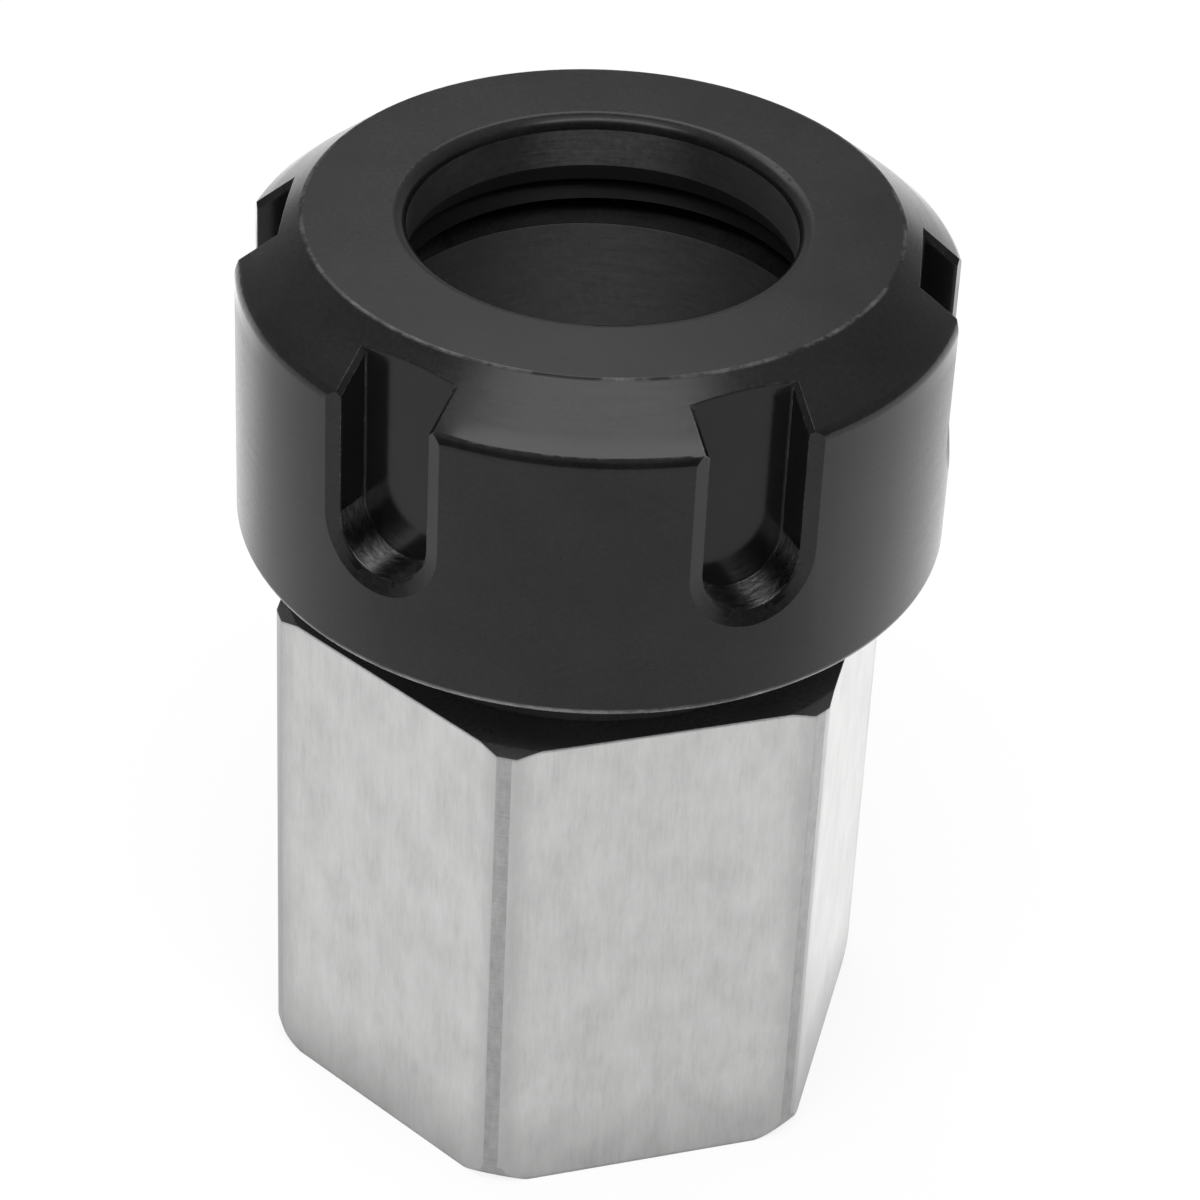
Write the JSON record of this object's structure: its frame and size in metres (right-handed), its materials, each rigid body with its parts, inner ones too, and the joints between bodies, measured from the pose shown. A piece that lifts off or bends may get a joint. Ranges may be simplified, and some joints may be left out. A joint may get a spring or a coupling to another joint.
{
  "type": "collet block",
  "caption": "Hexagonal collet block: ground flats, threaded nose with an inner collet taper, and a slotted clamping nut.",
  "frame": {"origin": "centre of the block's rear face, on the axis", "axes": "+Z along the axis from the rear face to the clamping nut; +X through a corner of the hexagon"},
  "size_m": [0.042, 0.042, 0.0579],
  "materials": {
    "ground_steel": "ground, satin",
    "black_oxide_steel": "satin black oxide"
  },
  "bodies": {
    "block": {"hex_block": "ground_steel"},
    "nut": {"clamping_nut": "black_oxide_steel"}
  },
  "joints": [
    {"name": "nut_turn", "type": "hinge", "parent": "block", "child": "nut", "pos_m": [0, 0, 0.03786], "axis": [0, 0, 1], "range_deg": [-275, 2750]}
  ]
}
